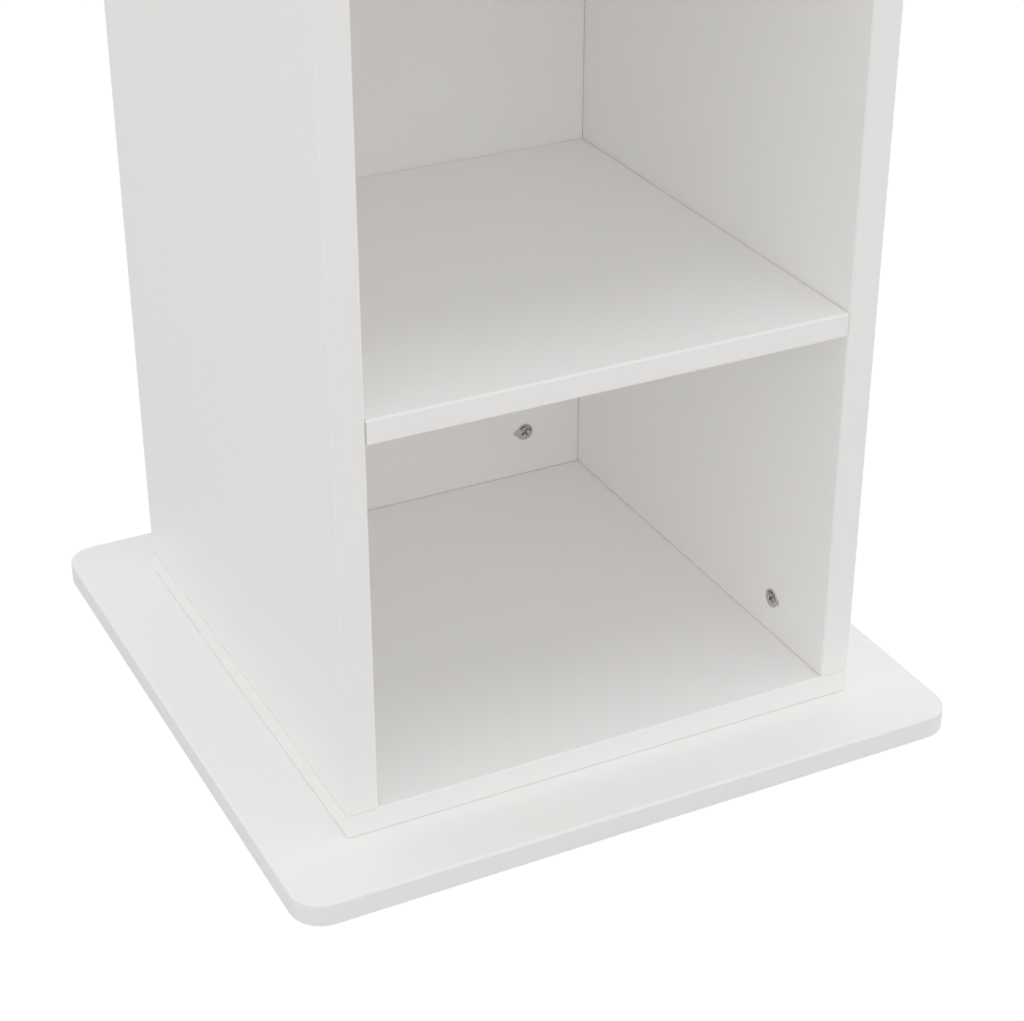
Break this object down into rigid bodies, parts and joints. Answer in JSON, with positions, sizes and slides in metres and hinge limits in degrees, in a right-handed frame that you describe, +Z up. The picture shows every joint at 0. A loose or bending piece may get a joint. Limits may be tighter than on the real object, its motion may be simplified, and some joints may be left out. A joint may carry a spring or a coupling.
{
  "type": "revolving wardrobe cabinet",
  "caption": "Tall narrow white cabinet with open shelves in front and a mirror on its back, turning without limit on a flat square base plate.",
  "frame": {"origin": "centre of the footprint on the floor, on the turning axis", "axes": "+Z up along the turning axis, -Y out of the open front of the cabinet at rest, +X to the right seen from the front"},
  "size_m": [0.438, 0.438, 1.7719],
  "materials": {
    "white_board": "satin white foil-faced board with softly rounded edges",
    "glide_rubber": "matte dark foam rubber",
    "ring_aluminium": "turned, plain",
    "zinc_plated_steel": "bright zinc plated",
    "bearing_steel": "polished steel",
    "cage_nylon": "natural nylon",
    "cam_zinc": "raw die-cast zinc, dull grey",
    "dowel_beech": "bare beech",
    "mirror_glass": "silvered float glass with a ground edge",
    "foam_tape": "white double-sided foam tape"
  },
  "bodies": {
    "base": {"base_plate": "white_board", "floor_glides": "glide_rubber", "turntable_lower_ring": "ring_aluminium", "lower_ring_screws": "zinc_plated_steel"},
    "ball_ring": {"ball_cage": "cage_nylon", "bearing_balls": "bearing_steel"},
    "cabinet": {"turntable_upper_ring": "ring_aluminium", "upper_ring_screws": "zinc_plated_steel", "bottom_panel": "white_board", "left_side_panel": "white_board", "right_side_panel": "white_board", "back_panel": "white_board", "top_panel": "white_board", "shelf_1": "white_board", "shelf_2": "white_board", "shelf_3": "white_board", "shelf_4": "white_board", "shelf_5": "white_board", "shelf_6": "white_board", "mirror": "mirror_glass", "mirror_tape": "foam_tape", "bottom_cams": "cam_zinc", "bottom_connecting_bolts": "zinc_plated_steel", "bottom_dowels": "dowel_beech", "top_cams": "cam_zinc", "top_connecting_bolts": "zinc_plated_steel", "top_dowels": "dowel_beech", "shelf_cams": "cam_zinc", "shelf_connecting_bolts": "zinc_plated_steel", "shelf_dowels": "dowel_beech", "back_panel_dowels": "dowel_beech"}
  },
  "joints": [
    {"name": "cabinet_turn", "type": "hinge", "parent": "base", "child": "cabinet", "pos_m": [0, 0, 0.0182], "axis": [0, 0, 1], "continuous": true},
    {"name": "ball_ring_turn", "type": "hinge", "parent": "base", "child": "ball_ring", "pos_m": [0, 0, 0.0182], "axis": [0, 0, 1], "continuous": true}
  ],
  "couplings": [
    {"joint": "ball_ring_turn", "follows": "cabinet_turn", "ratio": 0.5}
  ]
}
